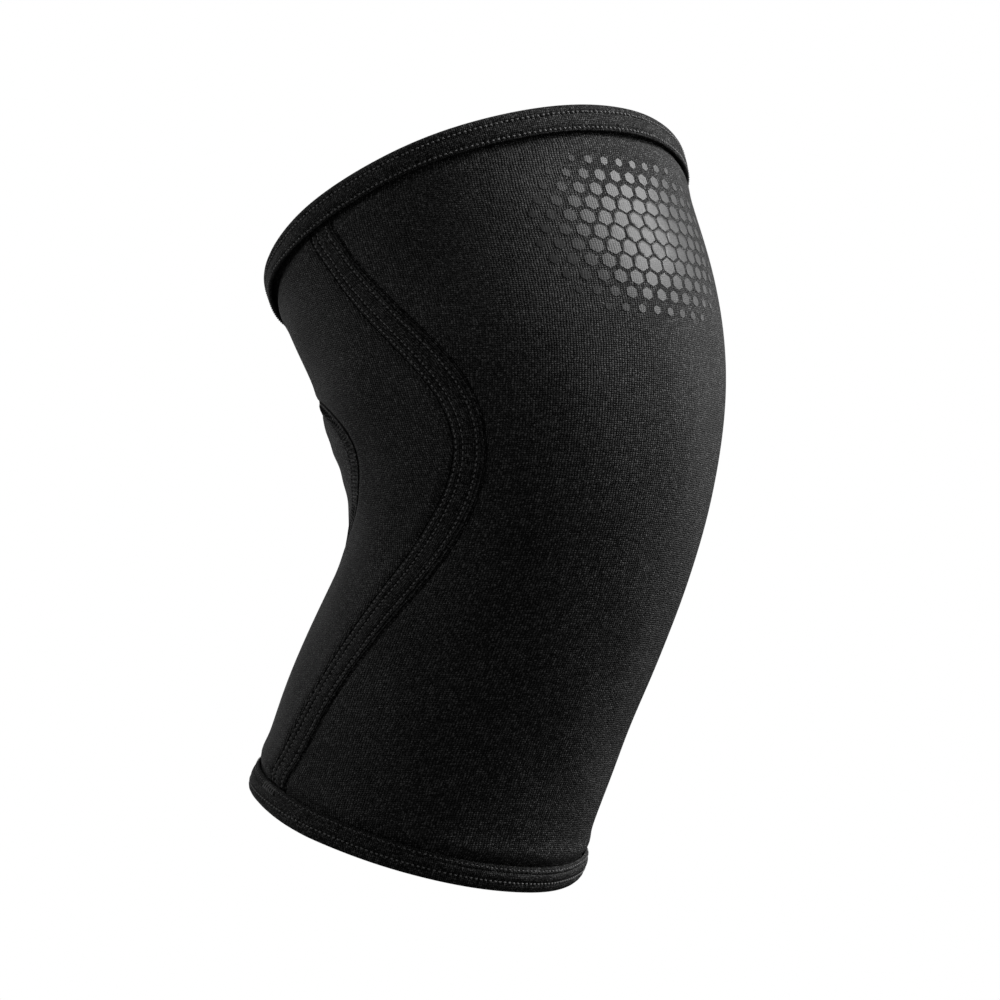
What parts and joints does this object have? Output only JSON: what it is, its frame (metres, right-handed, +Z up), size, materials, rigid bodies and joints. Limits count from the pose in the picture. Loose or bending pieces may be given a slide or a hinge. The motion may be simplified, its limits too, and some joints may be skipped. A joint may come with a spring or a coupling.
{
  "type": "knee sleeve",
  "caption": "Hollow bent knee sleeve of thick knit-faced neoprene, with stitched side bands, folded rim bindings and a thinner insert behind the knee.",
  "frame": {"origin": "centre of the knee joint inside the sleeve", "axes": "+Z up the leg towards the thigh, -Y out of the kneecap, +X towards the wearer's left"},
  "size_m": [0.1588, 0.189, 0.2779],
  "materials": {
    "neoprene_knit": "matte fine knit face over foam",
    "insert_knit": "matte, finer and thinner knit",
    "band_knit": "matte knit with three stitch rows",
    "binding_knit": "matte knit, folded and stitched"
  },
  "bodies": {
    "root": {"front_panel": "neoprene_knit", "back_panel": "neoprene_knit", "knee_pit_insert": "insert_knit", "side_band_right": "band_knit", "side_band_left": "band_knit", "top_binding": "binding_knit", "bottom_binding": "binding_knit"}
  },
  "joints": []
}
